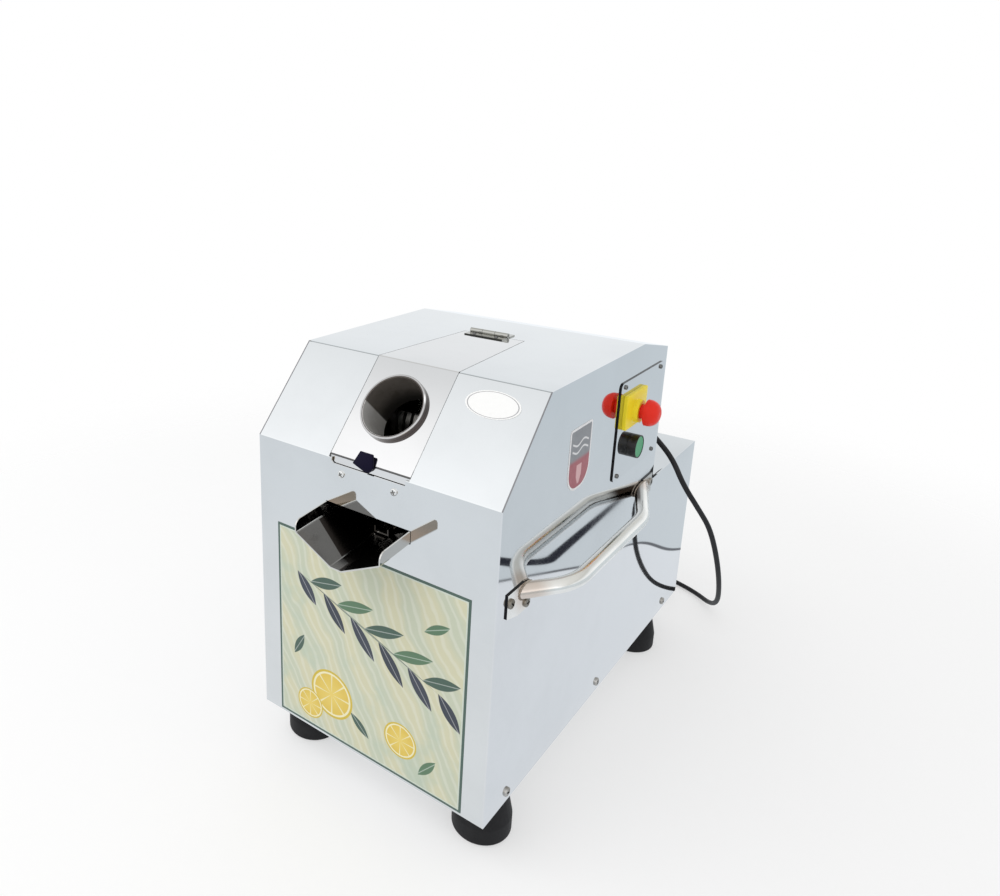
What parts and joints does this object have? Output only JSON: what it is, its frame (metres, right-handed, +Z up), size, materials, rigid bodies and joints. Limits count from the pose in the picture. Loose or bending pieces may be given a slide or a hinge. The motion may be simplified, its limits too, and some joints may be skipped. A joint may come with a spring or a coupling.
{
  "type": "sugarcane juicer",
  "caption": "Tabletop electric sugarcane juicer: polished steel casing, sloped hinged lid with round feed tube, juice spout, side handles, stop and start buttons, rear motor box.",
  "frame": {"origin": "on the floor under the middle of the machine's width and length, its lead left out", "axes": "+Z up, -Y out of the front with the juice spout, +X towards the side with the buttons"},
  "size_m": [0.4031, 0.7479, 0.4916],
  "materials": {
    "polished_steel": "mirror-polished stainless sheet",
    "satin_steel": "machined steel",
    "plated_steel": "zinc-plated fasteners",
    "gear_iron": "oiled cast iron",
    "bronze": "turned bronze",
    "grey_paint": "grey machine paint",
    "black_rubber": "matt black rubber",
    "black_plastic": "matt black",
    "yellow_plastic": "glossy yellow",
    "red_plastic": "glossy red",
    "green_plastic": "glossy green",
    "navy_plastic": "glossy dark blue",
    "printed_film": "printed film",
    "white_film": "white film"
  },
  "bodies": {
    "housing": {"front_panel": "polished_steel", "right_side_panel": "polished_steel", "left_side_panel": "polished_steel", "top_panel": "polished_steel", "rear_panel": "polished_steel", "motor_deck": "polished_steel", "motor_rear_panel": "polished_steel", "base_plate": "polished_steel", "lid_rails": "polished_steel", "fixed_hinge_leaf": "polished_steel", "juice_spout": "polished_steel", "juice_pan": "polished_steel", "cane_guides": "polished_steel", "right_handle": "polished_steel", "left_handle": "polished_steel", "control_plate": "polished_steel", "right_cheek": "satin_steel", "left_cheek": "satin_steel", "tie_bars": "satin_steel", "idler_shaft": "satin_steel", "motor_stand": "satin_steel", "tie_nuts": "plated_steel", "hinge_pin": "plated_steel", "foot_bolts": "plated_steel", "side_screws": "plated_steel", "small_screws": "plated_steel", "roller_bushes": "bronze", "gearbox": "grey_paint", "motor": "grey_paint", "rubber_feet": "black_rubber", "power_cord": "black_rubber", "cord_coil": "black_rubber", "magnet_catch": "black_plastic", "terminal_box": "black_plastic", "start_bezel": "black_plastic", "contact_blocks": "black_plastic", "cable_gland": "black_plastic", "cord_tie": "black_plastic", "plug": "black_plastic", "estop_base": "yellow_plastic", "front_poster": "printed_film", "side_label": "printed_film", "oval_badge": "white_film"},
    "lid": {"lid": "polished_steel", "feed_tube": "polished_steel", "lid_hinge_leaf": "polished_steel", "lid_pull_tab": "navy_plastic"},
    "top_roller": {"top_roller": "satin_steel", "top_roller_gear": "gear_iron", "bull_gear": "gear_iron"},
    "front_roller": {"front_roller": "satin_steel", "front_roller_gear": "gear_iron"},
    "rear_roller": {"rear_roller": "satin_steel", "rear_roller_gear": "gear_iron"},
    "idler": {"idler_gear": "gear_iron"},
    "pinion": {"drive_pinion": "gear_iron", "output_shaft": "satin_steel"},
    "estop_plunger": {"estop_plunger": "red_plastic"},
    "estop_head": {"estop_head": "red_plastic"},
    "start_button": {"start_button": "green_plastic"}
  },
  "joints": [
    {"name": "lid_hinge", "type": "hinge", "parent": "housing", "child": "lid", "pos_m": [0, -0.022, 0.4888], "axis": [-1, 0, 0], "range_deg": [0, 170]},
    {"name": "top_roller_spin", "type": "hinge", "parent": "housing", "child": "top_roller", "pos_m": [0, -0.12095, 0.40013], "axis": [1, 0, 0], "continuous": true},
    {"name": "front_roller_spin", "type": "hinge", "parent": "housing", "child": "front_roller", "pos_m": [0, -0.16136, 0.35578], "axis": [1, 0, 0], "continuous": true},
    {"name": "rear_roller_spin", "type": "hinge", "parent": "housing", "child": "rear_roller", "pos_m": [0, -0.08054, 0.35578], "axis": [1, 0, 0], "continuous": true},
    {"name": "idler_spin", "type": "hinge", "parent": "housing", "child": "idler", "pos_m": [0, -0.0358, 0.34398], "axis": [1, 0, 0], "continuous": true},
    {"name": "pinion_spin", "type": "hinge", "parent": "housing", "child": "pinion", "pos_m": [0, 0.00952, 0.30022], "axis": [1, 0, 0], "continuous": true},
    {"name": "estop_push", "type": "slide", "parent": "housing", "child": "estop_plunger", "axis": [-1, 0, 0], "range_m": [0, 0.005], "stiffness_N_per_m": 800},
    {"name": "estop_twist", "type": "hinge", "parent": "estop_plunger", "child": "estop_head", "pos_m": [0.1678, 0.032, 0.4145], "axis": [-1, 0, 0], "range_deg": [0, 45], "stiffness_Nm_per_rad": 0.05},
    {"name": "start_push", "type": "slide", "parent": "housing", "child": "start_button", "axis": [-1, 0, 0], "range_m": [0, 0.004], "stiffness_N_per_m": 600}
  ],
  "couplings": [
    {"joint": "front_roller_spin", "follows": "top_roller_spin", "ratio": -1},
    {"joint": "rear_roller_spin", "follows": "top_roller_spin", "ratio": -1},
    {"joint": "idler_spin", "follows": "top_roller_spin", "ratio": -1.8333},
    {"joint": "pinion_spin", "follows": "top_roller_spin", "ratio": 2.4444}
  ]
}
